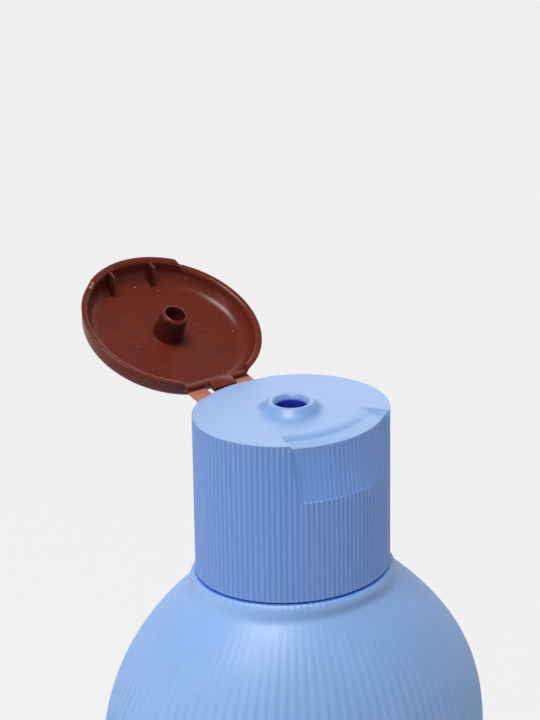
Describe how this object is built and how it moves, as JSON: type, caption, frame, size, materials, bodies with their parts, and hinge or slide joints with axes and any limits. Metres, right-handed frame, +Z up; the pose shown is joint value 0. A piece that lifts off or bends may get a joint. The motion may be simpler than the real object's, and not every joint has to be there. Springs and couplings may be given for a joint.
{
  "type": "shower gel bottle",
  "caption": "Oval ribbed shower gel bottle with a domed shoulder and a two-colour push-on closure whose hinged flip-top lid stands open.",
  "frame": {"origin": "centre of the oval foot, on the plane the bottle stands on", "axes": "+Z up along the bottle, +X to the bottle's wide side, -Y to the front with the thumb recess, +Y to the lid hinge"},
  "size_m": [0.0798, 0.0811, 0.1951],
  "materials": {
    "bottle_plastic": "satin sky-blue blow-moulded plastic",
    "closure_plastic": "satin blue moulded plastic",
    "lid_plastic": "red-brown moulded plastic, half gloss",
    "strap_plastic": "thin stretched copper-brown plastic"
  },
  "bodies": {
    "bottle": {"bottle": "bottle_plastic", "closure_base": "closure_plastic", "hinge_strap_left": "strap_plastic", "hinge_strap_right": "strap_plastic"},
    "lid": {"flip_lid": "lid_plastic"}
  },
  "joints": [
    {"name": "lid_hinge", "type": "hinge", "parent": "bottle", "child": "lid", "pos_m": [0, 0.01761, 0.1781], "axis": [1, 0, 0], "range_deg": [0, 152.6], "deforming": ["hinge_strap_left", "hinge_strap_right"]}
  ]
}
